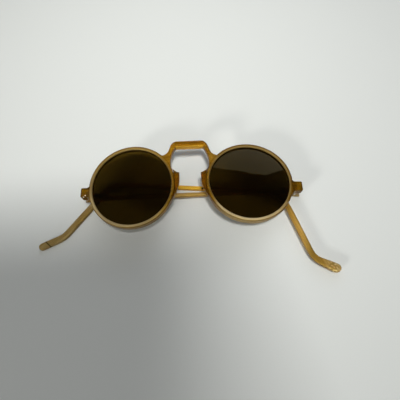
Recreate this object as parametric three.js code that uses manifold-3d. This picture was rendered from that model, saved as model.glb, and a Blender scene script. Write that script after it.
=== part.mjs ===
// Round folding sunglasses with a celluloid front, tinted glass lenses and slim curved temples.
// Millimetres, +Z up. The glasses lie face up on their folded temples, bridge towards +Y.
import * as THREE from "three";
import { mergeVertices } from "three/addons/utils/BufferGeometryUtils.js";
import Module from "manifold-3d";

const wasm = await Module();
wasm.setup();

// Front: two round rims in planes that wrap back from the bridge
const SIGHT_RADIUS = 21.8;
const LENS_GAP = 20.4;
const RIM_WIDTH = 1.8;
const RIM_DEPTH = 4.2;
const RIM_EDGE_ROUND = 0.75;
const LIP_CHAMFER = 0.35;
const WRAP_ANGLE = 5;
const ROUND_STEPS = 72;
const OUTLINE_STEPS = 8;

// Lens: a shallow meniscus whose bevelled edge sits in the rim's groove
const LENS_THICKNESS = 1.5;
const LENS_CURVE_RADIUS = 110;
const BEVEL_HEIGHT = 0.85;
const LENS_CLEARANCE = 0.25;
const LENS_RINGS = 8;

// Bridge: a straight crest bar on two legs that sweep back and down into the rims. The corners,
// shoulder and armpit are measured from the crest's end, the neck, keyhole and feet from the rim.
const CREST_TOP = 24.3;
const CREST_HEIGHT = 3.5;
const CREST_HALF_TOP = 6.9;
const CREST_CORNER_INSIDE = 0.7;
const CREST_CORNER = 3.0;
const SHOULDER_OUT = 4.0;
const SHOULDER_UP = 20.9;
const ARMPIT_OUT = 1.3;
const ARMPIT_UP = 19.7;
const NECK_OUT = 3.6;
const NECK_UP = 15.9;
const KEYHOLE_OUT = 2.0;
const KEYHOLE_UP = 12.8;
const KEYHOLE_BULGE = 0.1;
const LEG_FOOT_OUT = 8.6;
const LEG_FOOT_OUT_UP = 16.4;
const LEG_FOOT_IN = 1.7;
const LEG_FOOT_IN_UP = 6.6;
const LEG_PROUD = 0.15;
const BRIDGE_DEPTH = 4.2;
const BRIDGE_FORWARD = 1.5;
const BRIDGE_ROUND = 0.7;

// Endpieces: small blocks that carry the hinges
const ENDPIECE_HEIGHT = 5.7;
const ENDPIECE_CORNER = 0.8;
const ENDPIECE_CHAMFER = 0.7;
const ENDPIECE_FILLET = 2.2;
const ENDPIECE_ROUND = 0.5;
const MITRE_ANGLE = 45;
const MITRE_CLEARANCE = 0.3;
const WIDEST_OPENING = 97;

// Nose pads: crescents cemented to the nose side of each rim
const PAD_TIP_REACH = 2.65;
const PAD_TIP_UP = 6.0;
const PAD_TOP_UP = 9.4;
const PAD_WAIST_REACH = 1.8;
const PAD_WAIST_UP = -2.5;
const PAD_TAIL_UP = -13;
const PAD_SETBACK = 0.9;
const PAD_DEPTH = 5.2;
const PAD_FLARE = 14;
const PAD_ROUND = 0.6;
const CEMENT_GAP = 0.2;

// Hinge: three knuckles on one screw, each leaf held by two sunk pins
const HINGE_INSET = 3.0;
const KNUCKLE_RADIUS = 1.2;
const KNUCKLE_HEIGHT = 1.15;
const KNUCKLE_GAP = 0.12;
const BORE_CLEARANCE = 0.07;
const SCREW_RADIUS = 0.55;
const SCREW_HEAD_RADIUS = 1.05;
const SCREW_HEAD_HEIGHT = 0.45;
const SCREW_SLOT_WIDTH = 0.3;
const SCREW_SLOT_DEPTH = 0.22;
const LEAF_THICKNESS = 0.55;
const LEAF_HEIGHT = 3.2;
const LEAF_CLEARANCE = 0.2;
const FRONT_LEAF_LENGTH = 4.1;
const FRONT_LEAF_INBOARD = 2.9;
const TEMPLE_LEAF_LENGTH = 6.6;
const SEAT_GAP = 0.2;
const PIN_RADIUS = 0.42;
const PIN_HEAD_RADIUS = 0.62;
const PIN_HEAD_HEIGHT = 0.25;
const PIN_DOME_OUT = 0.6;
const PIN_DOME_UP = 0.85;
const PIN_DEPTH = 1.5;
const PIN_CLEARANCE = 0.08;
const FRONT_PIN_INBOARD = 2.0;
const FRONT_PIN_SPREAD = 0.9;
const TEMPLE_PIN_FIRST = 3.0;
const TEMPLE_PIN_PITCH = 2.3;
const SMALL_ROUND_STEPS = 20;

// Temples: a tall butt, a slim shaft, an ear bend and a paddle tip
const TEMPLE_THICKNESS = 2.6;
const TEMPLE_ROUND = 0.65;
const BUTT_PAST_PIVOT = 1.5;
const BUTT_ABOVE = 3.3;
const BUTT_BELOW = 1.75;
const BUTT_TAPER = 14;
const SHAFT_HALF = 1.15;
const BOW_LENGTH = 20;
const EAR_BEND_RADIUS = 13;
const TIP_BEND_RADIUS = 9;
const PATH_STEP = 3;
const TIP_STEPS = 6;

// Left side as bent and filed in use. Twist turns the rim about the line through both hinges,
// lean turns the hinge in the rim's plane and fold is the temple's rest angle from that plane.
// The temple runs straight until it stops short of the other hinge, bows, drops behind the ear,
// then kicks back at the tip.
const LEFT_TWIST_ANGLE = 3.8;
const LEFT_LEAN_ANGLE = -0.7;
const LEFT_FOLD_ANGLE = 3.5;
const LEFT_BOW_ANGLE = 7;
const LEFT_DROP_ANGLE = 71;
const LEFT_KICK_ANGLE = 44;
const LEFT_ENDPIECE_LENGTH = 4.5;
const LEFT_HINGE_UP = -1.9;
const LEFT_STOP_SHORT = 16.7;
const LEFT_HOOK = 26.8;
const LEFT_HOOK_HALF = 1.6;
const LEFT_TIP_LENGTH = 8.2;
const LEFT_TIP_HALF = 2.3;

// Right side, the same way
const RIGHT_TWIST_ANGLE = -1.9;
const RIGHT_LEAN_ANGLE = 6.8;
const RIGHT_FOLD_ANGLE = 7.2;
const RIGHT_BOW_ANGLE = 0;
const RIGHT_DROP_ANGLE = 58;
const RIGHT_KICK_ANGLE = 28;
const RIGHT_ENDPIECE_LENGTH = 4.9;
const RIGHT_HINGE_UP = -3.3;
const RIGHT_STOP_SHORT = 18.4;
const RIGHT_HOOK = 30.5;
const RIGHT_HOOK_HALF = 1.7;
const RIGHT_TIP_LENGTH = 10.2;
const RIGHT_TIP_HALF = 1.9;

// Sizes worked out from the ones above
const degrees = THREE.MathUtils.degToRad;
const MERGE_TOLERANCE = 1e-4;
const SLIVER_TOLERANCE = 2e-3;
const LENS_X = SIGHT_RADIUS + LENS_GAP / 2;
const RIM_RADIUS = SIGHT_RADIUS + RIM_WIDTH;
const NOSE_EDGE = LENS_X - RIM_RADIUS;
const TEMPLE_EDGE = LENS_X + RIM_RADIUS;
const HINGE_SPAN = 2 * (TEMPLE_EDGE - HINGE_INSET) + LEFT_ENDPIECE_LENGTH + RIGHT_ENDPIECE_LENGTH;
const LEFT_STRAIGHT = HINGE_SPAN - LEFT_STOP_SHORT;
const RIGHT_STRAIGHT = HINGE_SPAN - RIGHT_STOP_SHORT;
const CREST_HALF_INSIDE = CREST_HALF_TOP + CREST_CORNER_INSIDE;
const NECK_HALF = NOSE_EDGE + NECK_OUT;
const KEYHOLE_HALF = NOSE_EDGE + KEYHOLE_OUT;
const GROOVE_MIDDLE = -RIM_DEPTH / 2;
const TWIST_CENTRE = new THREE.Vector3(0, (LEFT_HINGE_UP + RIGHT_HINGE_UP) / 2, GROOVE_MIDDLE);
const KNUCKLE_PITCH = KNUCKLE_HEIGHT + KNUCKLE_GAP;
const PIVOT_BEHIND = KNUCKLE_RADIUS + LEAF_CLEARANCE + LEAF_THICKNESS + SEAT_GAP;
const TEMPLE_INNER = -(KNUCKLE_RADIUS + LEAF_CLEARANCE);
const TEMPLE_OUTER = TEMPLE_INNER - TEMPLE_THICKNESS;
const PIVOT_Z = -RIM_DEPTH - PIVOT_BEHIND;
const BUTT_SLOPE = degrees(MITRE_ANGLE - (WIDEST_OPENING - 90));
const BUTT_REACH = BUTT_PAST_PIVOT + TEMPLE_THICKNESS * Math.tan(BUTT_SLOPE);
const FRONT_LEAF_FACE = PIVOT_BEHIND - SEAT_GAP;
const TEMPLE_LEAF_FACE = TEMPLE_INNER + SEAT_GAP;

const SIDES = [
  {
    name: "left", mirror: -1, twist: LEFT_TWIST_ANGLE, lean: LEFT_LEAN_ANGLE, fold: LEFT_FOLD_ANGLE,
    bow: LEFT_BOW_ANGLE, drop: LEFT_DROP_ANGLE, kick: LEFT_KICK_ANGLE,
    endpiece: LEFT_ENDPIECE_LENGTH, up: LEFT_HINGE_UP, straight: LEFT_STRAIGHT,
    hook: LEFT_HOOK, hookHalf: LEFT_HOOK_HALF, tip: LEFT_TIP_LENGTH, tipHalf: LEFT_TIP_HALF,
  },
  {
    name: "right", mirror: 1, twist: RIGHT_TWIST_ANGLE, lean: RIGHT_LEAN_ANGLE, fold: RIGHT_FOLD_ANGLE,
    bow: RIGHT_BOW_ANGLE, drop: RIGHT_DROP_ANGLE, kick: RIGHT_KICK_ANGLE,
    endpiece: RIGHT_ENDPIECE_LENGTH, up: RIGHT_HINGE_UP, straight: RIGHT_STRAIGHT,
    hook: RIGHT_HOOK, hookHalf: RIGHT_HOOK_HALF, tip: RIGHT_TIP_LENGTH, tipHalf: RIGHT_TIP_HALF,
  },
];

// Materials
const celluloid = () =>
  new THREE.MeshStandardMaterial({ color: 0xb58a34, roughness: 0.28, metalness: 0 });
const amber = () =>
  new THREE.MeshStandardMaterial({ color: 0xb8701c, roughness: 0.3, metalness: 0 });
const darkGlass = () =>
  new THREE.MeshStandardMaterial({ color: 0x201c0c, roughness: 0.06, metalness: 0 });
const nickel = () =>
  new THREE.MeshStandardMaterial({ color: 0xb9b2a2, roughness: 0.35, metalness: 1 });
const steel = () =>
  new THREE.MeshStandardMaterial({ color: 0x9a9690, roughness: 0.3, metalness: 1 });

// A closed three.js geometry as a solid that can be joined and cut
function solid(geometry) {
  const bare = geometry.clone();
  bare.deleteAttribute("normal");
  bare.deleteAttribute("uv");
  const merged = mergeVertices(bare, MERGE_TOLERANCE);
  const corners = merged.index.array;
  const triangles = [];
  for (let i = 0; i < corners.length; i += 3) {
    const [a, b, c] = corners.slice(i, i + 3);
    if (a !== b && b !== c && c !== a) triangles.push(a, b, c);
  }
  return new wasm.Manifold(
    new wasm.Mesh({
      numProp: 3,
      vertProperties: new Float32Array(merged.attributes.position.array),
      triVerts: new Uint32Array(triangles),
    }),
  );
}

// A joined or cut solid as a three.js geometry, without the slivers that cuts leave
function geometryOf(made) {
  const mesh = made.simplify(SLIVER_TOLERANCE).getMesh();
  const geometry = new THREE.BufferGeometry();
  geometry.setAttribute("position", new THREE.BufferAttribute(mesh.vertProperties, 3));
  geometry.setIndex(new THREE.BufferAttribute(mesh.triVerts, 1));
  geometry.computeVertexNormals();
  return geometry;
}

function joined(...geometries) {
  return geometries.map(solid).reduce((all, next) => all.add(next));
}

function cut(body, ...geometries) {
  return geometries.map(solid).reduce((left, next) => left.subtract(next), body);
}

// A profile of [radius, z] pairs, listed from the back to the front, turned about Z
function turned(profile, steps = ROUND_STEPS) {
  const points = profile.map(([radius, z]) => new THREE.Vector2(radius, z));
  return new THREE.LatheGeometry(points, steps).rotateX(Math.PI / 2);
}

// An outline in X and Y, thickened from zBack to zFront with rounded edges inside the outline
function slab(shape, zBack, zFront, round, roundSteps = 2) {
  const geometry = new THREE.ExtrudeGeometry(shape, {
    depth: zFront - zBack - 2 * round,
    bevelEnabled: round > 0,
    bevelThickness: round,
    bevelSize: round,
    bevelOffset: -round,
    bevelSegments: roundSteps,
    curveSegments: OUTLINE_STEPS,
  });
  return geometry.translate(0, 0, zBack + round);
}

function rod(radius, yLow, yHigh, steps = SMALL_ROUND_STEPS) {
  const geometry = new THREE.CylinderGeometry(radius, radius, yHigh - yLow, steps);
  return geometry.translate(0, (yLow + yHigh) / 2, 0);
}

function block(low, high) {
  const size = high.map((value, axis) => value - low[axis]);
  const middle = high.map((value, axis) => (value + low[axis]) / 2);
  return new THREE.BoxGeometry(...size).translate(...middle);
}

// Move a geometry from one half's own plane to the front's frame
function wrapped(geometry, mirror) {
  geometry.rotateY(degrees(WRAP_ANGLE));
  if (mirror > 0) return geometry;
  geometry.scale(-1, 1, 1);
  const flipped = geometry.index ? geometry.toNonIndexed() : geometry;
  const position = flipped.attributes.position;
  for (let i = 0; i < position.count; i += 3) {
    const second = new THREE.Vector3().fromBufferAttribute(position, i + 1);
    const third = new THREE.Vector3().fromBufferAttribute(position, i + 2);
    position.setXYZ(i + 1, ...third);
    position.setXYZ(i + 2, ...second);
  }
  return flipped;
}

// The rim before it is opened: a thick disc with rounded outer edges
function rimDisc() {
  const round = RIM_EDGE_ROUND;
  const corner = (z, turn) => [0, 1, 2, 3].map((step) => {
    const angle = turn + (step / 3) * (Math.PI / 2);
    return [RIM_RADIUS - round + round * Math.cos(angle), z + round * Math.sin(angle)];
  });
  const disc = turned([
    [0, -RIM_DEPTH],
    ...corner(-RIM_DEPTH + round, -Math.PI / 2),
    ...corner(-round, 0),
    [0, 0],
  ]);
  return disc.translate(LENS_X, 0, 0);
}

// What is taken out of a rim: the sight opening, its chamfered lips and the lens groove
function rimOpening() {
  const past = BRIDGE_FORWARD + RIM_DEPTH;
  const lip = SIGHT_RADIUS;
  const halfGroove = LENS_THICKNESS / 2 + LENS_CLEARANCE;
  const opening = turned([
    [0, -RIM_DEPTH - past],
    [lip + LIP_CHAMFER, -RIM_DEPTH - past],
    [lip + LIP_CHAMFER, -RIM_DEPTH],
    [lip, -RIM_DEPTH + LIP_CHAMFER],
    [lip, GROOVE_MIDDLE - halfGroove],
    [lip + BEVEL_HEIGHT + LENS_CLEARANCE / 2, GROOVE_MIDDLE],
    [lip, GROOVE_MIDDLE + halfGroove],
    [lip, -LIP_CHAMFER],
    [lip + LIP_CHAMFER, 0],
    [lip + LIP_CHAMFER, past],
    [0, past],
  ]);
  return opening.translate(LENS_X, 0, 0);
}

// Both lens faces are arcs about the lens axis, and the edge is a vee
function lensGeometry() {
  const edge = SIGHT_RADIUS - LENS_CLEARANCE;
  const sag = (radius) =>
    LENS_CURVE_RADIUS - Math.sqrt(LENS_CURVE_RADIUS ** 2 - radius ** 2);
  const face = (middle) => Array.from({ length: LENS_RINGS + 1 }, (_, ring) => {
    const radius = (edge * ring) / LENS_RINGS;
    return [radius, middle + sag(edge) - sag(radius)];
  });
  const back = face(GROOVE_MIDDLE - LENS_THICKNESS / 2);
  const front = face(GROOVE_MIDDLE + LENS_THICKNESS / 2).reverse();
  return turned([...back, [edge + BEVEL_HEIGHT, GROOVE_MIDDLE], ...front]);
}

// Turn a geometry about the line through both hinges by each point's own angle
function twisted(geometry, angleAt) {
  const position = geometry.attributes.position;
  const place = new THREE.Vector3();
  const axis = new THREE.Vector3(1, 0, 0);
  for (let i = 0; i < position.count; i += 1) {
    place.fromBufferAttribute(position, i).sub(TWIST_CENTRE);
    place.applyAxisAngle(axis, degrees(angleAt(place.x))).add(TWIST_CENTRE);
    position.setXYZ(i, ...place);
  }
  return geometry;
}

// The right half of the bridge's outline, from the crest's top round both sides of the leg
function bridgeHalf() {
  const crestLow = CREST_TOP - CREST_HEIGHT;
  const shoulder = CREST_HALF_TOP + SHOULDER_OUT;
  const footOut = NOSE_EDGE + LEG_FOOT_OUT;
  const footIn = NOSE_EDGE + LEG_FOOT_IN;
  const half = new THREE.Path();
  half.moveTo(CREST_HALF_TOP, CREST_TOP);
  half.quadraticCurveTo(CREST_HALF_TOP + CREST_CORNER, CREST_TOP, shoulder, SHOULDER_UP);
  half.quadraticCurveTo(NECK_HALF, NECK_UP, footOut, LEG_FOOT_OUT_UP);
  half.lineTo(footOut, KEYHOLE_UP);
  half.lineTo(footOut - LEG_FOOT_OUT / 2, LEG_FOOT_IN_UP);
  half.lineTo(footIn, LEG_FOOT_IN_UP);
  half.quadraticCurveTo(
    KEYHOLE_HALF - KEYHOLE_BULGE, (KEYHOLE_UP + LEG_FOOT_IN_UP) / 2,
    KEYHOLE_HALF, KEYHOLE_UP,
  );
  half.quadraticCurveTo(
    KEYHOLE_HALF - KEYHOLE_BULGE, (KEYHOLE_UP + ARMPIT_UP) / 2,
    CREST_HALF_TOP + ARMPIT_OUT, ARMPIT_UP,
  );
  half.quadraticCurveTo(CREST_HALF_INSIDE, crestLow, CREST_HALF_TOP, crestLow);
  return half.getPoints(OUTLINE_STEPS);
}

// The bridge: its crest stands forward, and its legs sweep back to the rims and take their twist
function bridgeGeometry() {
  const rightHalf = bridgeHalf();
  const leftHalf = rightHalf.map((point) => new THREE.Vector2(-point.x, point.y)).reverse();
  const shape = new THREE.Shape([...rightHalf, ...leftHalf]);
  const bridge = slab(shape, BRIDGE_FORWARD - BRIDGE_DEPTH, BRIDGE_FORWARD, BRIDGE_ROUND);
  const ease = THREE.MathUtils.smoothstep;
  const position = bridge.attributes.position;
  for (let i = 0; i < position.count; i += 1) {
    const out = Math.abs(position.getX(i));
    const sweep = (BRIDGE_FORWARD - LEG_PROUD) * ease(out, CREST_HALF_TOP, NECK_HALF);
    position.setZ(i, position.getZ(i) - sweep - out * Math.tan(degrees(WRAP_ANGLE)));
  }
  const [left, right] = SIDES;
  const even = (left.twist + right.twist) / 2;
  return twisted(bridge, (x) => {
    const side = x < 0 ? left : right;
    return THREE.MathUtils.lerp(even, side.twist, ease(Math.abs(x), CREST_HALF_TOP, NECK_HALF));
  });
}

// A block that grows out of the rim, its lower outer corner cut away
function endpieceGeometry(side) {
  const top = side.up + ENDPIECE_HEIGHT / 2;
  const bottom = side.up - ENDPIECE_HEIGHT / 2;
  const out = TEMPLE_EDGE + side.endpiece;
  const root = LENS_X + SIGHT_RADIUS - ENDPIECE_FILLET;
  const shape = new THREE.Shape();
  shape.moveTo(root, top + ENDPIECE_FILLET);
  shape.lineTo(TEMPLE_EDGE - RIM_EDGE_ROUND, top + ENDPIECE_FILLET);
  shape.quadraticCurveTo(TEMPLE_EDGE, top, TEMPLE_EDGE + ENDPIECE_FILLET / 2, top);
  shape.lineTo(out - ENDPIECE_CORNER, top);
  shape.quadraticCurveTo(out, top, out, top - ENDPIECE_CORNER);
  shape.lineTo(out, bottom + ENDPIECE_CHAMFER);
  shape.lineTo(out - ENDPIECE_CHAMFER, bottom);
  shape.lineTo(TEMPLE_EDGE + ENDPIECE_FILLET / 2, bottom);
  shape.quadraticCurveTo(
    TEMPLE_EDGE, bottom,
    TEMPLE_EDGE - RIM_EDGE_ROUND, bottom - ENDPIECE_FILLET,
  );
  shape.lineTo(root, bottom - ENDPIECE_FILLET);
  return slab(shape, -RIM_DEPTH, 0, ENDPIECE_ROUND);
}

// The hinge's place on one half: at the pivot, leaning in the rim's plane
function hingePlace(side) {
  const lean = new THREE.Matrix4().makeRotationZ(degrees(-side.lean));
  return lean.setPosition(TEMPLE_EDGE + side.endpiece - HINGE_INSET, side.up, PIVOT_Z);
}

// The corner taken off the endpiece so that the mitred temple butt can close up to it
function mitreRoom(side) {
  const reach = side.endpiece + TEMPLE_THICKNESS;
  const slope = degrees(MITRE_ANGLE);
  const buttDistance = BUTT_PAST_PIVOT * Math.cos(BUTT_SLOPE) + TEMPLE_INNER * Math.sin(BUTT_SLOPE);
  const start = PIVOT_BEHIND * Math.tan(slope) ** -1
    - (buttDistance + MITRE_CLEARANCE) / Math.sin(slope);
  const room = block([-reach, -reach, -reach], [reach, reach, 0]);
  return room.rotateY(-slope).translate(start, 0, PIVOT_BEHIND);
}

// Where the leaf pins go, in the hinge's own frame
function frontPins() {
  return [-FRONT_PIN_SPREAD, FRONT_PIN_SPREAD].map((y) => ({ x: -FRONT_PIN_INBOARD, y }));
}

function templePins() {
  return [0, 1].map((row) => ({ x: -TEMPLE_PIN_FIRST - row * TEMPLE_PIN_PITCH, y: 0 }));
}

// A round hole or shank along Z at a pin's place
function pinShank(pin, radius, zLow, zHigh) {
  const shank = rod(radius, zLow, zHigh, SMALL_ROUND_STEPS).rotateX(Math.PI / 2);
  return shank.translate(pin.x, pin.y, 0);
}

// The whole front: rims, bridge and endpieces in one piece, opened for lenses and pins
function frontFrame() {
  const solids = [bridgeGeometry()];
  const cuts = [];
  for (const side of SIDES) {
    solids.push(wrapped(twisted(rimDisc(), () => side.twist), side.mirror));
    solids.push(wrapped(endpieceGeometry(side), side.mirror));
    cuts.push(wrapped(twisted(rimOpening(), () => side.twist), side.mirror));
    cuts.push(wrapped(mitreRoom(side).applyMatrix4(hingePlace(side)), side.mirror));
    for (const pin of frontPins()) {
      const radius = PIN_RADIUS + PIN_CLEARANCE;
      const hole = pinShank(pin, radius, 0, PIVOT_BEHIND + PIN_DEPTH + PIN_CLEARANCE);
      cuts.push(wrapped(hole.applyMatrix4(hingePlace(side)), side.mirror));
    }
  }
  return geometryOf(cut(joined(...solids), ...cuts));
}

// A crescent along the rim's nose side, leaning out towards the back, fitted to the rim
function nosePadGeometry() {
  const fit = RIM_RADIUS + CEMENT_GAP;
  const rimAt = (up) => LENS_X - Math.sqrt(fit ** 2 - up ** 2);
  const inside = LENS_X - SIGHT_RADIUS * Math.cos(Math.asin(-PAD_TAIL_UP / RIM_RADIUS));
  const tip = NOSE_EDGE - PAD_TIP_REACH;
  const waist = NOSE_EDGE - PAD_WAIST_REACH;
  const shape = new THREE.Shape();
  shape.moveTo(rimAt(PAD_TOP_UP), PAD_TOP_UP);
  shape.quadraticCurveTo(
    rimAt(PAD_TIP_UP) - PAD_ROUND, PAD_TIP_UP + PAD_ROUND,
    tip, PAD_TIP_UP,
  );
  shape.quadraticCurveTo(tip, PAD_WAIST_UP / 2, waist, PAD_WAIST_UP);
  shape.quadraticCurveTo(
    (waist + rimAt(PAD_TAIL_UP)) / 2 - PAD_ROUND, (PAD_WAIST_UP + PAD_TAIL_UP) / 2,
    rimAt(PAD_TAIL_UP), PAD_TAIL_UP,
  );
  shape.lineTo(inside, PAD_TAIL_UP);
  shape.lineTo(inside, PAD_TOP_UP);
  const pad = slab(shape, -PAD_SETBACK - PAD_DEPTH, -PAD_SETBACK, PAD_ROUND);
  const flare = Math.tan(degrees(PAD_FLARE));
  const position = pad.attributes.position;
  for (let i = 0; i < position.count; i += 1) {
    position.setX(i, position.getX(i) - flare * (position.getZ(i) + PAD_SETBACK));
  }
  const rimRoom = turned([
    [0, -RIM_DEPTH - CEMENT_GAP],
    [fit, -RIM_DEPTH - CEMENT_GAP],
    [fit, PAD_DEPTH],
    [0, PAD_DEPTH],
  ]);
  const behind = turned([
    [0, -RIM_DEPTH - PAD_DEPTH],
    [SIGHT_RADIUS + LIP_CHAMFER, -RIM_DEPTH - PAD_DEPTH],
    [SIGHT_RADIUS + LIP_CHAMFER, 0],
    [0, 0],
  ]);
  const rooms = [rimRoom, behind].map((room) => room.translate(LENS_X, 0, 0));
  return geometryOf(cut(solid(pad), ...rooms));
}

// One knuckle's ring with a web that reaches from the barrel to its leaf
function knuckle(yMiddle, inboard, leafLow, leafHigh) {
  const half = KNUCKLE_HEIGHT / 2;
  const web = block([-inboard, yMiddle - half, leafLow], [0, yMiddle + half, leafHigh]);
  return [rod(KNUCKLE_RADIUS, yMiddle - half, yMiddle + half), web];
}

function screwBore() {
  return rod(SCREW_RADIUS + BORE_CLEARANCE, -KNUCKLE_PITCH * 2, KNUCKLE_PITCH * 2);
}

// The leaf on the back of the endpiece, with the upper and lower knuckles
function frontLeafGeometry() {
  const face = FRONT_LEAF_FACE;
  const plate = block(
    [-FRONT_LEAF_INBOARD, -LEAF_HEIGHT / 2, face - LEAF_THICKNESS],
    [FRONT_LEAF_LENGTH - FRONT_LEAF_INBOARD, LEAF_HEIGHT / 2, face],
  );
  const pieces = [-KNUCKLE_PITCH, KNUCKLE_PITCH].flatMap((y) => knuckle(y, KNUCKLE_RADIUS, 0, face));
  const holes = frontPins().map((pin) =>
    pinShank(pin, PIN_RADIUS + PIN_CLEARANCE, 0, PIVOT_BEHIND));
  return geometryOf(cut(joined(plate, ...pieces), screwBore(), ...holes));
}

// The leaf on the temple's inner face, with the middle knuckle
function templeLeafGeometry() {
  const face = TEMPLE_LEAF_FACE;
  const start = KNUCKLE_RADIUS + LEAF_CLEARANCE;
  const plate = block(
    [-TEMPLE_LEAF_LENGTH, -LEAF_HEIGHT / 2, face],
    [-start, LEAF_HEIGHT / 2, face + LEAF_THICKNESS],
  );
  const pieces = knuckle(0, start + LEAF_CLEARANCE, face, face + LEAF_THICKNESS);
  const holes = templePins().map((pin) =>
    pinShank(pin, PIN_RADIUS + PIN_CLEARANCE, TEMPLE_OUTER, 0));
  return geometryOf(cut(joined(plate, ...pieces), screwBore(), ...holes));
}

// A slotted screw that runs through all three knuckles
function screwGeometry() {
  const end = KNUCKLE_PITCH + KNUCKLE_HEIGHT / 2;
  const seat = end + KNUCKLE_GAP;
  const top = seat + SCREW_HEAD_HEIGHT;
  const shank = rod(SCREW_RADIUS, -end, seat + SCREW_HEAD_HEIGHT / 2);
  const head = rod(SCREW_HEAD_RADIUS, seat, top);
  const slot = block(
    [-SCREW_HEAD_RADIUS * 2, top - SCREW_SLOT_DEPTH, -SCREW_SLOT_WIDTH / 2],
    [SCREW_HEAD_RADIUS * 2, top * 2, SCREW_SLOT_WIDTH / 2],
  );
  return geometryOf(cut(joined(shank, head), slot));
}

// A pin with a low domed head, its shank along +Z from the leaf's open face
function pinGeometry(length) {
  const profile = [
    [0, -PIN_CLEARANCE - PIN_HEAD_HEIGHT],
    [PIN_HEAD_RADIUS * PIN_DOME_OUT, -PIN_CLEARANCE - PIN_HEAD_HEIGHT * PIN_DOME_UP],
    [PIN_HEAD_RADIUS, -PIN_CLEARANCE],
    [PIN_RADIUS, -PIN_CLEARANCE],
    [PIN_RADIUS, length],
    [0, length],
  ];
  return turned(profile, SMALL_ROUND_STEPS);
}

// Points along a temple's middle line: straight, ear bend, hook, tip bend and tip
function templePath(side) {
  const legs = [
    { length: BUTT_REACH + side.straight - BOW_LENGTH, turn: 0 },
    { length: BOW_LENGTH, turn: -degrees(side.bow) },
    { length: EAR_BEND_RADIUS * degrees(side.drop - side.bow), turn: -degrees(side.drop - side.bow) },
    { length: side.hook, turn: 0 },
    { length: TIP_BEND_RADIUS * degrees(side.kick), turn: degrees(side.kick) },
    { length: side.tip, turn: 0 },
  ];
  const stops = [];
  let place = new THREE.Vector2(-BUTT_REACH, 0);
  let heading = 0;
  let run = 0;
  stops.push({ run, place, heading });
  for (const leg of legs) {
    const count = Math.max(1, Math.ceil(leg.length / PATH_STEP));
    const step = leg.length / count;
    for (let i = 0; i < count; i += 1) {
      const middle = heading + leg.turn / count / 2;
      const onward = new THREE.Vector2(Math.cos(middle), Math.sin(middle));
      place = place.clone().addScaledVector(onward, step);
      heading += leg.turn / count;
      run += step;
      stops.push({ run, place, heading });
    }
  }
  return stops;
}

// Half the temple's height above or below its middle line at a distance along it
function templeHalf(side, run, buttHalf, total) {
  const ease = THREE.MathUtils.smoothstep;
  const earStart = BUTT_REACH + side.straight;
  const taper = 1 - ease(run, BUTT_REACH, BUTT_REACH + BUTT_TAPER);
  const hook = ease(run, earStart - EAR_BEND_RADIUS, earStart + EAR_BEND_RADIUS * 2);
  const tip = ease(run, total - 2 * side.tip, total - side.tipHalf);
  return SHAFT_HALF + (buttHalf - SHAFT_HALF) * taper
    + (side.hookHalf - SHAFT_HALF) * hook + (side.tipHalf - side.hookHalf) * tip;
}

// The temple's outline runs along its upper edge, round the tip and back along the lower edge
function templeGeometry(side) {
  const stops = templePath(side);
  const total = stops[stops.length - 1].run + side.tipHalf;
  const edge = (stop, buttHalf, way) => {
    const half = templeHalf(side, stop.run, buttHalf, total);
    const across = new THREE.Vector2(-Math.sin(stop.heading), Math.cos(stop.heading));
    return stop.place.clone().addScaledVector(across, way * half);
  };
  const upper = stops.map((stop) => edge(stop, BUTT_ABOVE, 1));
  const lower = stops.map((stop) => edge(stop, BUTT_BELOW, -1));
  const last = stops[stops.length - 1];
  const tipHalf = templeHalf(side, last.run, BUTT_ABOVE, total);
  const tip = Array.from({ length: TIP_STEPS - 1 }, (_, step) => {
    const angle = last.heading + Math.PI / 2 - ((step + 1) / TIP_STEPS) * Math.PI;
    const out = new THREE.Vector2(Math.cos(angle), Math.sin(angle));
    return last.place.clone().addScaledVector(out, tipHalf);
  });
  const outline = [...upper, ...tip, ...lower.reverse()];
  const shape = new THREE.Shape(outline.map((point) => new THREE.Vector2(-point.x, point.y)));
  const bar = slab(shape, TEMPLE_OUTER, TEMPLE_INNER, TEMPLE_ROUND);
  const holes = templePins().map((pin) =>
    pinShank(pin, PIN_RADIUS + PIN_CLEARANCE, TEMPLE_INNER - PIN_DEPTH - PIN_CLEARANCE, 0));
  const far = BUTT_REACH + TEMPLE_THICKNESS + BUTT_ABOVE;
  const mitre = block([0, -far, -far], [far, far, far]).rotateY(-BUTT_SLOPE);
  mitre.translate(BUTT_PAST_PIVOT, 0, TEMPLE_INNER);
  return geometryOf(cut(solid(bar), mitre, ...holes));
}

function piece(name, geometry, material) {
  const mesh = new THREE.Mesh(geometry, material);
  mesh.name = name;
  return mesh;
}

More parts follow.
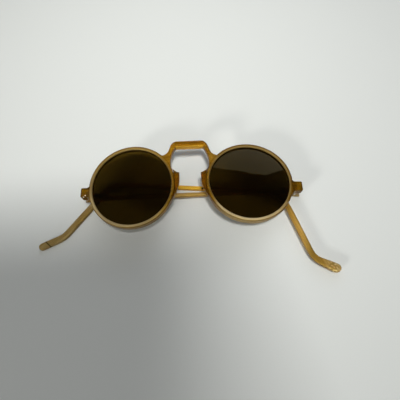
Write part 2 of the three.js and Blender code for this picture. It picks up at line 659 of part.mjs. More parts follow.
// Everything on one side of the bridge, nested so that the temple turns about the screw
function sideGroup(side) {
  const half = new THREE.Group();
  half.scale.x = side.mirror;
  const plane = new THREE.Group();
  plane.rotation.y = degrees(WRAP_ANGLE);
  half.add(plane);

  const eye = new THREE.Group();
  eye.rotation.x = degrees(side.twist);
  eye.position.copy(TWIST_CENTRE).sub(TWIST_CENTRE.clone().applyEuler(eye.rotation));
  plane.add(eye);
  const lens = piece(`${side.name}_lens`, lensGeometry(), darkGlass());
  lens.position.x = LENS_X;
  eye.add(lens, piece(`${side.name}_nose_pad`, nosePadGeometry(), amber()));

  const hinge = new THREE.Group();
  hinge.applyMatrix4(hingePlace(side));
  plane.add(hinge);
  hinge.add(
    piece(`${side.name}_front_hinge_leaf`, frontLeafGeometry(), nickel()),
    piece(`${side.name}_hinge_screw`, screwGeometry(), steel()),
  );
  const pinNames = ["a", "b"];
  frontPins().forEach((pin, index) => {
    const length = LEAF_THICKNESS + SEAT_GAP + PIN_DEPTH;
    const mesh = piece(`${side.name}_front_hinge_pin_${pinNames[index]}`, pinGeometry(length), nickel());
    mesh.position.set(pin.x, pin.y, FRONT_LEAF_FACE - LEAF_THICKNESS);
    hinge.add(mesh);
  });

  const temple = new THREE.Group();
  temple.name = `${side.name}_temple_group`;
  temple.rotation.y = degrees(-side.fold);
  hinge.add(temple);
  temple.add(
    piece(`${side.name}_temple`, templeGeometry(side), celluloid()),
    piece(`${side.name}_temple_hinge_leaf`, templeLeafGeometry(), nickel()),
  );
  templePins().forEach((pin, index) => {
    const length = LEAF_THICKNESS + SEAT_GAP + PIN_DEPTH;
    const mesh = piece(`${side.name}_temple_hinge_pin_${pinNames[index]}`, pinGeometry(length), nickel());
    mesh.rotation.y = Math.PI;
    mesh.position.set(pin.x, pin.y, TEMPLE_LEAF_FACE + LEAF_THICKNESS);
    temple.add(mesh);
  });
  return half;
}

// Lay the glasses down so that the outer face of the right temple is level
const lay = new THREE.Group();
lay.add(piece("front_frame", frontFrame(), celluloid()), ...SIDES.map(sideGroup));
lay.updateMatrixWorld(true);
const underTemple = lay.getObjectByName("right_temple_group");
const upright = new THREE.Vector3(0, 0, 1).transformDirection(underTemple.matrixWorld);
lay.quaternion.setFromUnitVectors(upright, new THREE.Vector3(0, 0, 1));

// Set the origin at the middle of the footprint, on the surface underneath
const sunglasses = new THREE.Group();
sunglasses.add(lay);
const bounds = new THREE.Box3().setFromObject(sunglasses, true);
const middle = bounds.getCenter(new THREE.Vector3());
lay.position.set(-middle.x, -middle.y, -bounds.min.z);

export default sunglasses;
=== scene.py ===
import math
from functools import partial
from typing import NamedTuple

import bpy
from mathutils import Euler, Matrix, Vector


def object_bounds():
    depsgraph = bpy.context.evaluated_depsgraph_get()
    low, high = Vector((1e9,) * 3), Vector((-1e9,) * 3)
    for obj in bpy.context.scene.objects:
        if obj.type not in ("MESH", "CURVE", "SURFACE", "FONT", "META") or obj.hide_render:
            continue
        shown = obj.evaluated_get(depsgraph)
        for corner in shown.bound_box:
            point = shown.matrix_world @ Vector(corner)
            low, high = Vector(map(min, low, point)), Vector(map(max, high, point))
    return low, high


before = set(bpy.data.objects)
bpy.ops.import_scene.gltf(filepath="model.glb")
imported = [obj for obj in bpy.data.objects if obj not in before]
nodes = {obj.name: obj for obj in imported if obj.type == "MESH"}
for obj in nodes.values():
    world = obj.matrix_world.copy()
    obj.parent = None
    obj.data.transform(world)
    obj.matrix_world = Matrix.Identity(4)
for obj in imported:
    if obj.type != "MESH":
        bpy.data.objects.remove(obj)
cad_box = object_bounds()

MM = 0.001

# Camera, at the photograph's place and angle, for a square image
CAMERA_PLACE = Vector((18.64, -87.29, 204.54)) * MM
CAMERA_TURN_DEGREES = (25.132, 3.534, -1.992)
CAMERA_LENS = 36.0
CAMERA_SENSOR = 36.0
CAMERA_CLIP = 1 * MM

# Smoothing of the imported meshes, whose faces come with corners of their own
WELD_DISTANCE = 0.002 * MM
SHARP_EDGE_DEGREES = 38.0
LENS_EDGE_DEGREES = 20.0

# Room, in metres: a soft lamp hangs above, a broad one behind the part brightens the far floor, a third
# stands low on the left, and a pale card at the back shows in one lens. A flag shades the near left
# corner.
WORLD_COLOUR = (0.97, 0.99, 1.0, 1)
WORLD_STRENGTH = 0.07
OVERHEAD = dict(
    place=(0.148, -0.36, 1.24), aim=(-0.013, 0.144, 0.0), size=0.18, spread_degrees=44, power=0.743,
    colour=(1.0, 0.99, 0.97),
)
FAR_FILL = dict(
    place=(0.0, 0.13, 0.34), aim=(0.0, 0.0, 0.0), size=0.22, spread_degrees=180, power=0.12,
    colour=(1.0, 1.0, 1.0),
)
LOW_LEFT = dict(
    place=(-0.72, -0.78, 0.55), aim=(0.0, 0.0, 0.0), size=0.18, spread_degrees=180, power=4.0,
    colour=(1.0, 0.985, 0.95),
)
FLAG_CORNERS = [
    (-0.50, -0.0885, 0.31), (0.0479, -0.0885, 0.31), (0.0894, -0.2915, 0.52), (-0.50, -0.2915, 0.52)
]
CARD_DISTANCE = 0.66
CARD_OUTLINE = [
    (-0.10, 0.30), (-0.10, 0.73), (0.07, 0.815), (0.41, 0.875), (0.59, 0.845), (0.70, 0.57), (0.80, 0.30)
]
CARD_COLOUR = (0.86, 0.90, 1.0, 1)
CARD_STRENGTH = 1.1

# Floor: a pale sheet just under the part, whose grain is a little darker
FLOOR_SIZE = 6.0
FLOOR_DROP = 0.03 * MM
FLOOR_COLOUR = Vector((0.79, 0.815, 0.785))
FLOOR_GRAIN_SHADE = 0.985
FLOOR_GRAIN_SIZE = 0.8 * MM
FLOOR_GRAIN_DEPTH = 0.02 * MM

# Celluloid: what it lets through of each colour, the tint of its sheen, what its streaks and the painted
# shade at its edges leave of the light, and the sizes of its streaks, clouds, specks and waves
AMBER_INSIDE = (0.94, 0.80, 0.0)
AMBER_DENSITY = 450
AMBER_SHEEN = (0.85, 0.62, 0.10, 1)
REFRACTION = 1.5
STREAK_TINT = (0.60, 0.52, 0.36, 1)
STREAK_LENGTH = 25 * MM
STREAK_WIDTH = 1.1 * MM
EDGE_SHADE_TINT = (0.42, 0.30, 0.14, 1)
CLOUD_SIZE = 6 * MM
SPECK_SIZE = 0.7 * MM
WAVE_SIZE = 2.5 * MM
WAVE_DEPTH = 0.008 * MM

# The bridge's middle, from which the zones of colour are measured, and the bridge's reach
BRIDGE_MIDDLE = 5 * MM
BRIDGE_START = 12 * MM
BRIDGE_END = 16 * MM
ZONES_REACH = 90 * MM

# The bridge: dark lines run along it, a painted glow lies on its near wall, and painted shade darkens its
# side walls
LINE_TINT = (0.55, 0.40, 0.20, 1)
LINE_WIDTH = 0.7 * MM
LINE_SHARE = 0.45
PAINTED_GLOW_WALL = (0.98, 0.60, 0.05, 1)
PAINTED_SHADE_WALL = (0.32, 0.14, 0.01, 1)
WALL_HAZE = 0.6

# A point on the axis of the left rim and of the right one, each with the axis's direction
RIM_AXES = [
    (Vector((-21.17, 21.40, -92.65)) * MM, Vector((-0.0496, -0.0810, 0.9955))),
    (Vector((23.53, 10.78, -94.91)) * MM, Vector((0.1244, 0.0184, 0.9921))),
]

# The rims outward from their axes: a dull lip, a face, a ridge darkened by painted shade and the outer
# edge, past which the endpieces start
LIP_START = 21.9 * MM
LIP_END = 22.7 * MM
LIP_COLOUR = (0.36, 0.24, 0.08, 1)
FACE_START = 22.8 * MM
FACE_END = 23.5 * MM
FACE_HEIGHT = 12 * MM
RIDGE_AT = 23.4 * MM
RIDGE_CORE = 0.05 * MM
RIDGE_EDGE = 0.22 * MM
RIDGE_SHADE_TINT = (0.50, 0.40, 0.22, 1)
RIM_EDGE = 24.2 * MM
ENDPIECE_EDGE = 25.0 * MM

# The rims are made pale on their near left sides by a painted highlight, the left one less, and the rest
# of the right one is darkened
HIGHLIGHT_FACE = (0.66, 0.53, 0.29, 1)
HIGHLIGHT_WALL = (0.46, 0.33, 0.125, 1)
PALE_WAY = Vector((0.45, 0.89, 0.0))
PALE_START = -20 * MM
PALE_END = -1 * MM
LEFT_PALE_SHARE = 0.5
RIGHT_RIM_TINT = (0.66, 0.57, 0.38, 1)

# Where the temples' hooks start, and how far they turn from the straight lengths
HOOK_START = 48 * MM
HOOK_END = 54 * MM
LEFT_HOOK_DEGREES = -69
RIGHT_HOOK_DEGREES = 44

# Marks: a dark line and a dark spot on the right temple, worn marks on the left one's tip, and two painted
# glints as pale dots on an endpiece, each full in its core and gone at its edge
TIP_LINE_PLACE = Vector((-74.9, -12.57, 2.6)) * MM
TIP_LINE_AXIS = Vector((-0.70, -0.72, 0.0))
TIP_LINE_CORE = 0.15 * MM
TIP_LINE_EDGE = 0.55 * MM
SPOT_PLACE = Vector((11.08, 15.04, 2.6)) * MM
SPOT_CORE = 0.45 * MM
SPOT_EDGE = 0.85 * MM
DARK_MARK_COLOUR = (0.03, 0.015, 0.004, 1)
RUBBED_PLACE = Vector((75.6, -34.2, 4.75)) * MM
RUBBED_CORE = 2.0 * MM
RUBBED_EDGE = 3.0 * MM
RUB_SIZE = 1.1 * MM
RUBBED_PALE = (0.90, 0.76, 0.42, 1)
RUBBED_DARK = (0.34, 0.22, 0.06, 1)
GLINT_PLACES = [Vector((-51.8, 8.9, 14.6)) * MM, Vector((-52.7, 8.1, 14.3)) * MM]
GLINT_CORE = 0.25 * MM
GLINT_EDGE = 0.45 * MM
PAINTED_GLINT_COLOUR = (0.90, 0.86, 0.74, 1)

# Lens glass: dark brown, with smears
LENS_DARK = (0.064, 0.035, 0.003)
LENS_LIGHT = (0.073, 0.041, 0.004)
LENS_CLOUD_SIZE = 14 * MM
LENS_SHEEN = (0.5, 0.4, 0.15, 1)
SMEAR_LENGTH = 16 * MM
SMEAR_WIDTH = 4 * MM
SMEAR_TURN_DEGREES = 35

# Hinge metals: their colours, their roughness where clean and where tarnished, and their brushing
NICKEL = dict(
    bright=(0.66, 0.63, 0.57), tarnished=(0.34, 0.29, 0.22), smooth=0.22, rough=0.48,
    grain=(1.1 * MM, 0.11 * MM, 0.11 * MM),
)
SCREW_STEEL = dict(
    bright=(0.55, 0.53, 0.50), tarnished=(0.25, 0.20, 0.15), smooth=0.25, rough=0.5,
    grain=(0.25 * MM, 0.25 * MM, 1.1 * MM),
)
TARNISH_SIZE = 0.9 * MM
BRUSHING_DEPTH = 0.006 * MM


class Zone(NamedTuple):
    """Celluloid at a distance in mm from the bridge's middle.

    The haze is the share of the light that the worn skin scatters, and the edge says how much painted
    shade darkens the material where it is seen edge on.
    """

    away: float
    haze: float
    edge: float
    colour: tuple


FRONT_ZONES = [
    Zone(7, 0.18, 1.0, (0.74, 0.41, 0.02)),
    Zone(11, 0.45, 0.8, (0.56, 0.30, 0.02)),
    Zone(16, 0.75, 0.7, (0.40, 0.235, 0.03)),
    Zone(24, 0.90, 0.6, (0.30, 0.185, 0.04)),
    Zone(53, 0.90, 0.6, (0.26, 0.155, 0.03)),
    Zone(55, 0.25, 1.0, (0.50, 0.27, 0.015)),
]
PAD_ZONES = [Zone(0, 0.16, 0.8, (0.60, 0.27, 0.008)), Zone(60, 0.16, 0.8, (0.60, 0.27, 0.008))]
LEFT_TEMPLE_ZONES = [
    Zone(12, 0.55, 0.7, (0.80, 0.54, 0.17)),
    Zone(50, 0.46, 0.8, (0.66, 0.41, 0.09)),
    Zone(57, 0.52, 0.8, (0.86, 0.55, 0.13)),
    Zone(61, 0.42, 0.8, (0.46, 0.28, 0.05)),
    Zone(65, 0.46, 0.8, (0.64, 0.41, 0.09)),
    Zone(71, 0.58, 0.7, (0.97, 0.75, 0.33)),
]
RIGHT_TEMPLE_ZONES = [
    Zone(12, 0.95, 0.2, (1.0, 0.59, 0.06)),
    Zone(45, 0.50, 0.8, (0.90, 0.68, 0.29)),
    Zone(80, 0.50, 0.8, (0.72, 0.55, 0.23)),
]


class Graph:
    """A material's node tree, with short calls that add a node and link it."""

    def __init__(self, name):
        self.material = bpy.data.materials.new(name)
        self.material.use_nodes = True
        self.tree = self.material.node_tree
        self.shader = self.tree.nodes["Principled BSDF"]
        self.output = self.tree.nodes["Material Output"]
        coordinates = self.tree.nodes.new("ShaderNodeTexCoord")
        self.place = coordinates.outputs["Object"]
        self.normal = coordinates.outputs["Normal"]

    def put(self, socket, value):
        """Sets an input, or links it when the value is another node's output."""
        if isinstance(value, bpy.types.NodeSocket):
            self.tree.links.new(value, socket)
        else:
            socket.default_value = value

    def surface(self, **values):
        """Sets the surface shader's inputs; a name's underscores stand for spaces."""
        for name, value in values.items():
            self.put(self.shader.inputs[name.replace("_", " ")], value)

    def stretched(self, turn_degrees, lengths, where=None):
        """Coordinates along axes turned about the upright one, each in its own length."""
        node = self.tree.nodes.new("ShaderNodeMapping")
        node.vector_type = "TEXTURE"
        self.put(node.inputs["Vector"], where or self.place)
        node.inputs["Rotation"].default_value = (0, 0, math.radians(turn_degrees))
        node.inputs["Scale"].default_value = lengths
        return node.outputs["Vector"]

    def noise(self, size, detail=3.0, roughness=0.55, where=None):
        """Noise whose blots are about this long, in metres or in the lengths of where."""
        node = self.tree.nodes.new("ShaderNodeTexNoise")
        self.put(node.inputs["Vector"], where or self.place)
        node.inputs["Scale"].default_value = 1 / size
        node.inputs["Detail"].default_value = detail
        node.inputs["Roughness"].default_value = roughness
        return node.outputs["Fac"]

    def ramp(self, value, *stops):
        """A colour for each value between the stops, which are (value, colour) pairs."""
        node = self.tree.nodes.new("ShaderNodeValToRGB")
        self.put(node.inputs["Fac"], value)
        ends = node.color_ramp.elements
        while len(ends) < len(stops):
            ends.new(1.0)
        for end, (at, colour) in zip(ends, stops):
            end.position = at
            end.color = (*colour, 1)
        return node.outputs["Color"]

    def spread(self, value, low, high, start=0.3, end=0.7):
        """A number that runs from low to high as the value goes from start to end."""
        node = self.tree.nodes.new("ShaderNodeMapRange")
        self.put(node.inputs["Value"], value)
        node.inputs["From Min"].default_value = start
        node.inputs["From Max"].default_value = end
        node.inputs["To Min"].default_value = low
        node.inputs["To Max"].default_value = high
        return node.outputs["Result"]

    def combine(self, kind, first, second):
        """Two numbers added, multiplied or compared, as the kind says."""
        node = self.tree.nodes.new("ShaderNodeMath")
        node.operation = kind
        self.put(node.inputs[0], first)
        self.put(node.inputs[1], second)
        return node.outputs["Value"]

    def size(self, value):
        """A number without its sign."""
        node = self.tree.nodes.new("ShaderNodeMath")
        node.operation = "ABSOLUTE"
        self.put(node.inputs[0], value)
        return node.outputs["Value"]

    def blend(self, share, first, second, kind="MIX"):
        """The first colour where the share is 0 and the second, or their product, where it is 1."""
        node = self.tree.nodes.new("ShaderNodeMix")
        node.data_type = "RGBA"
        node.blend_type = kind
        self.put(node.inputs[0], share)
        self.put(node.inputs[6], first)
        self.put(node.inputs[7], second)
        return node.outputs[2]

    def vectors(self, kind, first, second=(0, 0, 0)):
        """Two vectors worked on as the kind says, which gives a vector or, where it measures, a number."""
        node = self.tree.nodes.new("ShaderNodeVectorMath")
        node.operation = kind
        self.put(node.inputs[0], first)
        self.put(node.inputs[1], second)
        measures = kind in ("DISTANCE", "DOT_PRODUCT", "LENGTH")
        return node.outputs["Value" if measures else "Vector"]

    def part(self, vector, axis):
        """One of a vector's three parts, X, Y or Z."""
        node = self.tree.nodes.new("ShaderNodeSeparateXYZ")
        self.put(node.inputs["Vector"], vector)
        return node.outputs[axis]

    def join(self, x, y, z):
        """A vector of three numbers."""
        node = self.tree.nodes.new("ShaderNodeCombineXYZ")
        self.put(node.inputs["X"], x)
        self.put(node.inputs["Y"], y)
        self.put(node.inputs["Z"], z)
        return node.outputs["Vector"]

    def facing(self):
        """0 where the surface faces the eye, and 1 where it is seen edge on."""
        node = self.tree.nodes.new("ShaderNodeLayerWeight")
        node.inputs["Blend"].default_value = 0.5
        return node.outputs["Facing"]

    def from_middle(self):
        """The distance in metres from the plane through the bridge's middle, on either side."""
        return self.size(self.combine("SUBTRACT", self.part(self.place, "X"), BRIDGE_MIDDLE))

    def right_half(self):
        """1 to the right of the bridge's middle, and 0 to the left."""
        return self.combine("GREATER_THAN", self.part(self.place, "X"), BRIDGE_MIDDLE)

    def from_point(self, point):
        """The distance in metres from a point."""
        return self.vectors("DISTANCE", self.place, point)

    def along(self, point, axis):
        """How far in metres a place lies from a point, along an axis."""
        return self.vectors("DOT_PRODUCT", self.vectors("SUBTRACT", self.place, point), axis)

    def from_axis(self, point, axis):
        """The distance in metres from the line through a point along an axis."""
        gap = self.vectors("SUBTRACT", self.place, point)
        return self.vectors("LENGTH", self.vectors("CROSS_PRODUCT", gap, axis))

    def from_rims(self):
        """The distance in metres from the nearer rim's axis."""
        return self.combine("MINIMUM", *(self.from_axis(*axis) for axis in RIM_AXES))

    def bumps(self, height, depth):
        """Relief this many metres deep where the height goes from 0 to 1."""
        node = self.tree.nodes.new("ShaderNodeBump")
        node.inputs["Distance"].default_value = depth
        node.inputs["Strength"].default_value = 1.0
        self.put(node.inputs["Height"], height)
        self.put(self.shader.inputs["Normal"], node.outputs["Normal"])

    def absorb(self, colour, density):
        """Light fades inside the piece, most in what the colour lacks."""
        node = self.tree.nodes.new("ShaderNodeVolumeAbsorption")
        node.inputs["Color"].default_value = (*colour, 1)
        node.inputs["Density"].default_value = density
        self.tree.links.new(node.outputs["Volume"], self.output.inputs["Volume"])


def straight_streaks(graph, turn_degrees=0):
    """Streaks that run straight, turned about the upright axis."""
    lengths = (STREAK_LENGTH, STREAK_WIDTH, STREAK_WIDTH)
    return graph.noise(1.0, detail=3, where=graph.stretched(turn_degrees, lengths))


def ring_streaks(graph, point, axis):
    """Streaks that run round a rim's axis."""
    side = graph.part(graph.place, "X")
    where = graph.join(graph.from_axis(point, axis), graph.along(point, axis), side)
    lengths = (STREAK_WIDTH, STREAK_WIDTH, STREAK_LENGTH)
    return graph.noise(1.0, detail=2, where=graph.stretched(0, lengths, where))


def bridge_share(graph):
    """1 on the bridge, and 0 on the rims beyond it."""
    return graph.spread(graph.from_middle(), 1.0, 0.0, BRIDGE_START, BRIDGE_END)


def front_streaks(graph):
    """Along the bridge in the middle, and round each rim outside it."""
    rings = (ring_streaks(graph, *axis) for axis in RIM_AXES)
    rings = graph.blend(graph.right_half(), *rings)
    return graph.blend(bridge_share(graph), rings, straight_streaks(graph))


def hook_streaks(graph, turn_degrees):
    """Along a temple's straight length, and then along its hook, which is turned."""
    hook = graph.spread(graph.from_middle(), 0.0, 1.0, HOOK_START, HOOK_END)
    return graph.blend(hook, straight_streaks(graph), straight_streaks(graph, turn_degrees))


def bridge_lines(graph, colour, bridge):
    """Dark lines along the bridge."""
    where = graph.stretched(0, (STREAK_LENGTH, LINE_WIDTH, LINE_WIDTH))
    lines = graph.spread(graph.noise(1.0, detail=1, where=where), LINE_SHARE, 0.0, 0.38, 0.50)
    return graph.blend(graph.combine("MULTIPLY", lines, bridge), colour, LINE_TINT, "MULTIPLY")


def bridge_walls(graph, colour, haze, bridge):
    """A painted glow on the bridge's near wall and painted shade on its side walls, told apart by the way
    that they face.
    """
    near = graph.spread(graph.part(graph.normal, "Y"), 1.0, 0.0, -0.9, -0.5)
    near = graph.combine("MULTIPLY", near, bridge)
    side = graph.spread(graph.size(graph.part(graph.normal, "X")), 0.0, 1.0, 0.5, 0.9)
    side = graph.combine("MULTIPLY", side, bridge)
    # Painted shade on the side walls, and a painted glow on the near wall
    colour = graph.blend(side, colour, PAINTED_SHADE_WALL)
    colour = graph.blend(near, colour, PAINTED_GLOW_WALL)
    walls = graph.spread(graph.combine("MAXIMUM", near, side), 0.0, WALL_HAZE, 0.0, 1.0)
    return colour, graph.combine("MAXIMUM", haze, walls)


def rim_centre(point, axis):
    """Where a rim's axis passes the height of its face."""
    return point + axis * ((FACE_HEIGHT - point.z) / axis.z)


def near_highlight_share(graph, rims):
    """How much painted highlight makes each rim pale, by how near and how far left on it a place lies."""
    right = graph.right_half()
    ways = (graph.along(rim_centre(*axis), PALE_WAY) for axis in RIM_AXES)
    near = graph.spread(graph.blend(right, *ways), 1.0, 0.0, PALE_START, PALE_END)
    near = graph.combine("MULTIPLY", near, rims)
    return graph.combine("MULTIPLY", near, graph.spread(right, LEFT_PALE_SHARE, 1.0, 0.0, 1.0))


def rim_rings(graph, colour, from_rims, near_highlight):
    """What runs round the rims: the dull lips, the faces made pale by painted highlight, and the ridges
    darkened by painted shade.
    """
    lips = graph.spread(from_rims, 1.0, 0.0, LIP_START, LIP_END)
    colour = graph.blend(lips, colour, LIP_COLOUR)
    face = graph.spread(from_rims, 1.0, 0.0, FACE_START, FACE_END)
    # Painted highlight: the near faces of the rims are made pale
    colour = graph.blend(graph.combine("MULTIPLY", face, near_highlight), colour, HIGHLIGHT_FACE)
    # Painted shade: a dark line along each rim's ridge
    ridge = graph.size(graph.combine("SUBTRACT", from_rims, RIDGE_AT))
    ridge = graph.spread(ridge, 1.0, 0.0, RIDGE_CORE, RIDGE_EDGE)
    return graph.blend(ridge, colour, RIDGE_SHADE_TINT, "MULTIPLY")


def endpiece_glints(graph, colour, haze):
    """Painted glints: pale dots on an endpiece."""
    for place in GLINT_PLACES:
        # Painted glint: a pale dot on the endpiece
        glint = graph.spread(graph.from_point(place), 1.0, 0.0, GLINT_CORE, GLINT_EDGE)
        colour = graph.blend(glint, colour, PAINTED_GLINT_COLOUR)
        haze = graph.combine("MAXIMUM", haze, glint)
    return colour, haze


def front_details(graph, colour, haze):
    """The bridge's lines and the painted glow and shade on its walls, the rims' painted highlight,
    darkening and rings, and the endpiece's painted glints.
    """
    bridge = bridge_share(graph)
    from_rims = graph.from_rims()
    rims = graph.spread(from_rims, 1.0, 0.0, RIM_EDGE, ENDPIECE_EDGE)
    rims = graph.combine("MULTIPLY", rims, graph.combine("SUBTRACT", 1.0, bridge))
    near_highlight = near_highlight_share(graph, rims)
    # The rest of the right rim is darkened, away from its painted highlight
    darkened = graph.combine("MULTIPLY", graph.right_half(), graph.combine("SUBTRACT", rims, near_highlight))

    colour = bridge_lines(graph, colour, bridge)
    # Painted highlight: the near left sides of the rims are made pale
    colour = graph.blend(near_highlight, colour, HIGHLIGHT_WALL)
    colour = graph.blend(darkened, colour, RIGHT_RIM_TINT, "MULTIPLY")
    colour, haze = bridge_walls(graph, colour, haze, bridge)
    colour = rim_rings(graph, colour, from_rims, near_highlight)
    return endpiece_glints(graph, colour, haze)


def left_temple_details(graph, colour, haze):
    """The worn marks on the tip."""
    inside = graph.spread(graph.from_point(RUBBED_PLACE), 1.0, 0.0, RUBBED_CORE, RUBBED_EDGE)
    rubs = graph.noise(RUB_SIZE, detail=2, roughness=0.4)
    pale = graph.combine("MULTIPLY", inside, graph.spread(rubs, 0.0, 0.9, 0.52, 0.58))
    dark = graph.combine("MULTIPLY", inside, graph.spread(rubs, 0.8, 0.0, 0.42, 0.48))
    colour = graph.blend(pale, colour, RUBBED_PALE)
    colour = graph.blend(dark, colour, RUBBED_DARK)
    return colour, haze


def right_temple_details(graph, colour, haze):
    """A dark line across the tip, and a spot on the straight length."""
    line = graph.size(graph.along(TIP_LINE_PLACE, TIP_LINE_AXIS))
    line = graph.spread(line, 0.9, 0.0, TIP_LINE_CORE, TIP_LINE_EDGE)
    spot = graph.spread(graph.from_point(SPOT_PLACE), 1.0, 0.0, SPOT_CORE, SPOT_EDGE)
    # A dark line across the tip and a dark spot on the straight length, made darker
    dark_marks = graph.combine("MAXIMUM", line, spot)
    return graph.blend(dark_marks, colour, DARK_MARK_COLOUR), haze


def celluloid(name, zones, streaks=straight_streaks, details=None):
    """Old translucent celluloid, streaked lengthwise, with painted shade where it is seen edge on."""
    graph = Graph(name)
    away = graph.combine("DIVIDE", graph.from_middle(), ZONES_REACH)
    places = [zone.away * MM / ZONES_REACH for zone in zones]
    haze = graph.ramp(away, *zip(places, [(zone.haze,) * 3 for zone in zones]))
    edge = graph.ramp(away, *zip(places, [(zone.edge,) * 3 for zone in zones]))
    colour = graph.ramp(away, *zip(places, [zone.colour for zone in zones]))

    clouds = graph.noise(CLOUD_SIZE, detail=2)
    specks = graph.noise(SPECK_SIZE, detail=2)
    haze = graph.combine("MULTIPLY", haze, graph.spread(clouds, 0.85, 1.15))
    dark = graph.spread(streaks(graph), 1.0, 0.0, 0.36, 0.64)
    dark = graph.combine("ADD", dark, graph.spread(specks, 0.15, -0.15))
    colour = graph.blend(dark, colour, STREAK_TINT, "MULTIPLY")
    if details:
        colour, haze = details(graph, colour, haze)
    # Painted shade: darker where the surface is seen edge on
    edge = graph.combine("MULTIPLY", edge, graph.spread(graph.facing(), 0.0, 1.0, 0.25, 0.8))
    colour = graph.blend(edge, colour, EDGE_SHADE_TINT, "MULTIPLY")
    graph.surface(
        Base_Color=colour,
        Roughness=graph.spread(haze, 0.08, 0.34, 0.0, 0.5),
        Transmission_Weight=graph.spread(haze, 1.0, 0.0, 0.0, 1.0),
        IOR=REFRACTION,
        Specular_Tint=AMBER_SHEEN,
    )
    graph.bumps(graph.noise(WAVE_SIZE, detail=1), WAVE_DEPTH)
    graph.absorb(AMBER_INSIDE, AMBER_DENSITY)
    return graph.material


def tinted_glass():
    """Dark brown sun lens, polished, with faint smears on it."""
    graph = Graph("tinted_glass")
    clouds = graph.noise(LENS_CLOUD_SIZE, detail=2)
    where = graph.stretched(SMEAR_TURN_DEGREES, (SMEAR_LENGTH, SMEAR_WIDTH, SMEAR_WIDTH))
    smears = graph.noise(1.0, detail=4, where=where)
    graph.surface(
        Base_Color=graph.ramp(clouds, (0.3, LENS_DARK), (0.7, LENS_LIGHT)),
        Roughness=graph.spread(smears, 0.02, 0.06, 0.4, 0.75),
        Transmission_Weight=1.0,
        IOR=REFRACTION,
        Specular_Tint=LENS_SHEEN,
    )
    return graph.material


def metal(name, bright, tarnished, smooth, rough, grain):
    """Worn metal: brushed along one way, with tarnish in patches."""
    graph = Graph(name)
    patches = graph.noise(TARNISH_SIZE, detail=5, roughness=0.6)
    brushed = graph.noise(1.0, detail=3, where=graph.stretched(0, grain))
    graph.surface(
        Base_Color=graph.ramp(patches, (0.38, bright), (0.66, tarnished)),
        Metallic=1.0,
        Roughness=graph.spread(patches, smooth, rough, 0.35, 0.7),
    )
    graph.bumps(brushed, BRUSHING_DEPTH)
    return graph.material


def paper():
    """The pale floor: plain, with a grain too fine to see from far off."""
    graph = Graph("pale_floor")
    grain = graph.noise(FLOOR_GRAIN_SIZE, detail=4)
    graph.surface(
        Base_Color=graph.ramp(grain, (0.3, FLOOR_COLOUR * FLOOR_GRAIN_SHADE), (0.7, FLOOR_COLOUR)),
        Roughness=0.85,
        Specular_IOR_Level=0.2,
    )
    graph.bumps(grain, FLOOR_GRAIN_DEPTH)
    return graph.material


def dress(name, material, sharp=SHARP_EDGE_DEGREES):
    """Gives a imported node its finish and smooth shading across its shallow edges."""
    piece = nodes[name]
    piece.data.materials.clear()
    piece.data.materials.append(material)
    if "custom_normal" in piece.data.attributes:
        piece.data.attributes.remove(piece.data.attributes["custom_normal"])
    piece.data.polygons.foreach_set("use_smooth", [True] * len(piece.data.polygons))
    weld = piece.modifiers.new("weld", "WELD")
    weld.merge_threshold = WELD_DISTANCE
    split = piece.modifiers.new("sharp_edges", "EDGE_SPLIT")
    split.split_angle = math.radians(sharp)
    piece.modifiers.new("even_normals", "WEIGHTED_NORMAL")


def dress_all():
    """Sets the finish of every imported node."""
    front = celluloid("celluloid_front", FRONT_ZONES, front_streaks, front_details)
    pads = celluloid("celluloid_pads", PAD_ZONES)
    left_streaks = partial(hook_streaks, turn_degrees=LEFT_HOOK_DEGREES)
    right_streaks = partial(hook_streaks, turn_degrees=RIGHT_HOOK_DEGREES)
    left = celluloid("celluloid_left", LEFT_TEMPLE_ZONES, left_streaks, left_temple_details)
    right = celluloid("celluloid_right", RIGHT_TEMPLE_ZONES, right_streaks, right_temple_details)
    glass = tinted_glass()
    nickel = metal("nickel", **NICKEL)
    steel = metal("screw_steel", **SCREW_STEEL)

    dress("front_frame", front)
    for side, temple in (("left", left), ("right", right)):
        dress(f"{side}_lens", glass, LENS_EDGE_DEGREES)
        dress(f"{side}_nose_pad", pads)
        dress(f"{side}_temple", temple)
        dress(f"{side}_hinge_screw", steel)
        for half in ("front", "temple"):
            dress(f"{side}_{half}_hinge_leaf", nickel)
            for letter in "ab":
                dress(f"{side}_{half}_hinge_pin_{letter}", nickel)


def make_sheet(name, corners):
    """A flat sheet with these corners."""
    mesh = bpy.data.meshes.new(name)
    mesh.from_pydata(corners, [], [list(range(len(corners)))])
    sheet = bpy.data.objects.new(name, mesh)
    bpy.context.scene.collection.objects.link(sheet)
    return sheet


def make_floor():
    """One big pale sheet under the part."""
    half = FLOOR_SIZE / 2
    corners = [(-half, -half, 0), (half, -half, 0), (half, half, 0), (-half, half, 0)]
    floor = make_sheet("floor", corners)
    floor.location.z = cad_box[0].z - FLOOR_DROP
    floor.data.materials.append(paper())


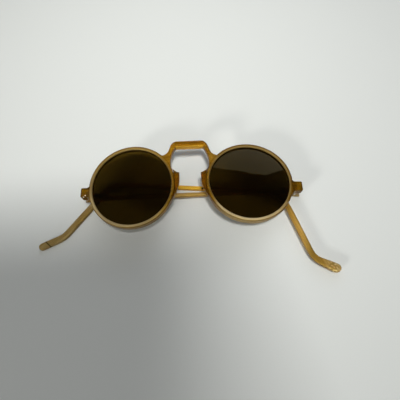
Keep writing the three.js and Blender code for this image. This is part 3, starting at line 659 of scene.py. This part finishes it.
def make_flag():
    """A card out of the picture that keeps the overhead lamp off the near left corner."""
    flag = make_sheet("flag", FLAG_CORNERS)
    flag.visible_camera = False
    flag.visible_diffuse = False
    flag.visible_glossy = False
    flag.visible_transmission = False


def make_card():
    """A glowing pale card that stands behind the part, out of the picture."""
    graph = Graph("back_card")
    graph.surface(
        Base_Color=(0, 0, 0, 1), Emission_Color=CARD_COLOUR, Emission_Strength=CARD_STRENGTH
    )
    card = make_sheet("back_card", [(x, CARD_DISTANCE, z) for x, z in CARD_OUTLINE])
    card.data.materials.append(graph.material)
    card.visible_camera = False


def make_lamp(name, place, aim, size, spread_degrees, power, colour, mirrored=True):
    """A soft square lamp aimed at a point; without mirroring it leaves no glint."""
    lamp = bpy.data.lights.new(name, "AREA")
    lamp.size = size
    lamp.spread = math.radians(spread_degrees)
    lamp.energy = power
    lamp.color = colour
    light = bpy.data.objects.new(name, lamp)
    bpy.context.scene.collection.objects.link(light)
    light.location = place
    light.rotation_euler = (Vector(aim) - light.location).to_track_quat("-Z", "Y").to_euler()
    light.visible_glossy = mirrored


def make_world():
    """A dim, even fill from all round."""
    world = bpy.data.worlds.new("room")
    bpy.context.scene.world = world
    world.use_nodes = True
    background = world.node_tree.nodes["Background"]
    background.inputs["Color"].default_value = WORLD_COLOUR
    background.inputs["Strength"].default_value = WORLD_STRENGTH


def make_camera():
    """The photograph's view of the part."""
    data = bpy.data.cameras.new("camera")
    data.lens = CAMERA_LENS
    data.sensor_width = CAMERA_SENSOR
    data.clip_start = CAMERA_CLIP
    camera = bpy.data.objects.new("camera", data)
    bpy.context.scene.collection.objects.link(camera)
    camera.location = CAMERA_PLACE
    camera.rotation_euler = Euler([math.radians(turn) for turn in CAMERA_TURN_DEGREES], "XYZ")
    bpy.context.scene.camera = camera


dress_all()
make_floor()
make_flag()
make_card()
make_lamp("overhead", **OVERHEAD)
make_lamp("far_fill", **FAR_FILL, mirrored=False)
make_lamp("low_left", **LOW_LEFT)
make_world()
make_camera()
bpy.context.scene.view_settings.view_transform = "Standard"

bpy.context.view_layer.update()
